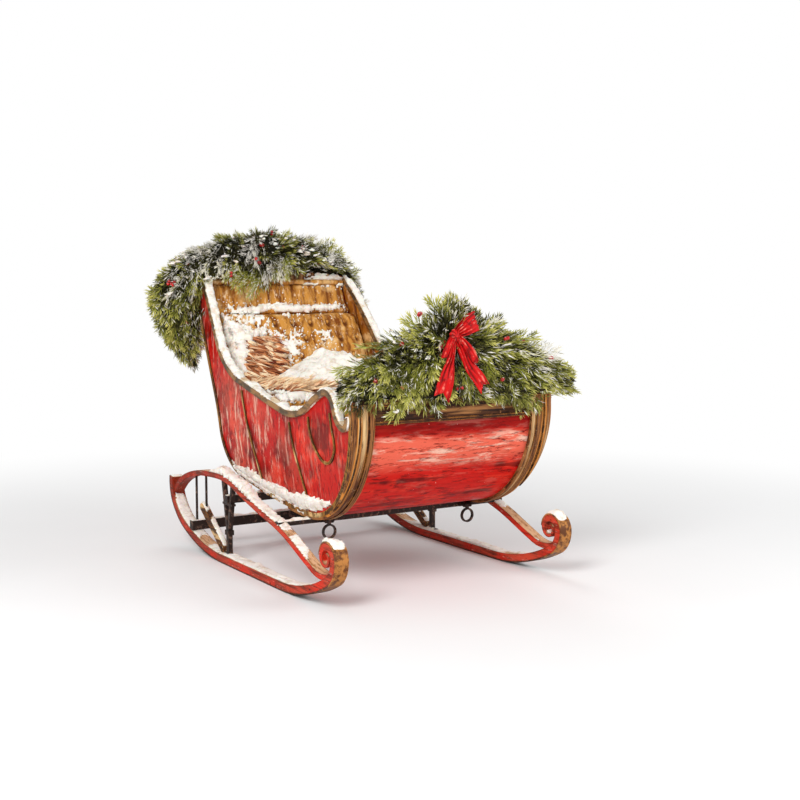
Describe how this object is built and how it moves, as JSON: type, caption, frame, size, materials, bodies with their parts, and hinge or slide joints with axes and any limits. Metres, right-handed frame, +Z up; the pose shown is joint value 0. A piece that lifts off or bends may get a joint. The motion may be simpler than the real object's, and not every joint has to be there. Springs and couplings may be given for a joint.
{
  "type": "horse drawn sleigh",
  "caption": "Swell-sided one-horse cutter sleigh on two scroll-fronted runners, with a buttoned seat, swinging draw eyes, evergreen garlands and a bow.",
  "frame": {"origin": "on the ground, below the middle of the whole sleigh with its garlands", "axes": "+X forward, towards the dash and the runners' scrolls; +Y to the sleigh's left; +Z up"},
  "size_m": [1.93, 1.4, 1.612],
  "materials": {
    "red_paint": "glossy red paint, worn and frosted",
    "runner_paint": "satin coral-red paint",
    "weathered_band": "weathered brown wood with dark streaks",
    "gold_trim": "gold-brown painted moulding",
    "cream_paint": "cream paint with an olive edge line",
    "tan_leather": "buttoned ochre leather",
    "bare_wood": "oiled brown wood",
    "dark_iron": "blackened wrought iron",
    "rusty_iron": "rusty brown strap iron",
    "evergreen": "evergreen needles",
    "red_ribbon": "satin red ribbon",
    "fur_throw": "tan fur"
  },
  "bodies": {
    "sleigh": {"arm_rail_left": "cream_paint", "arm_rail_right": "cream_paint", "back_cushion": "tan_leather", "back_garland": "evergreen", "back_panel": "red_paint", "back_upper_pad": "tan_leather", "bow": "red_ribbon", "brace_left": "bare_wood", "brace_right": "bare_wood", "corner_band_left": "weathered_band", "corner_band_right": "weathered_band", "crest_rail": "weathered_band", "dash_board": "weathered_band", "dash_cap": "weathered_band", "dash_garland": "evergreen", "dash_panel": "red_paint", "draw_bracket_left": "dark_iron", "draw_bracket_right": "dark_iron", "floor_pan": "red_paint", "foot_boards": "bare_wood", "front_beam": "dark_iron", "knee_left": "dark_iron", "knee_right": "dark_iron", "mid_beam": "dark_iron", "rear_beam": "dark_iron", "runner_left": "runner_paint", "runner_right": "runner_paint", "runner_shoe_left": "rusty_iron", "runner_shoe_right": "rusty_iron", "seat_board": "bare_wood", "seat_cushion": "tan_leather", "seat_riser": "bare_wood", "side_beads_left": "gold_trim", "side_beads_right": "gold_trim", "side_pad_left": "tan_leather", "side_pad_right": "tan_leather", "side_panel_left": "red_paint", "side_panel_right": "red_paint", "sill_left": "bare_wood", "sill_right": "bare_wood", "stays_left": "dark_iron", "stays_right": "dark_iron", "throw": "fur_throw", "upper_rail_left": "runner_paint", "upper_rail_right": "runner_paint"},
    "eye_right": {"draw_eye_right": "dark_iron"},
    "eye_left": {"draw_eye_left": "dark_iron"}
  },
  "joints": [
    {"name": "eye_right_swing", "type": "hinge", "parent": "sleigh", "child": "eye_right", "pos_m": [0.452, -0.372, 0.287], "axis": [0, 1, 0], "range_deg": [-80, 40]},
    {"name": "eye_left_swing", "type": "hinge", "parent": "sleigh", "child": "eye_left", "pos_m": [0.452, 0.372, 0.287], "axis": [0, 1, 0], "range_deg": [-80, 40]}
  ]
}
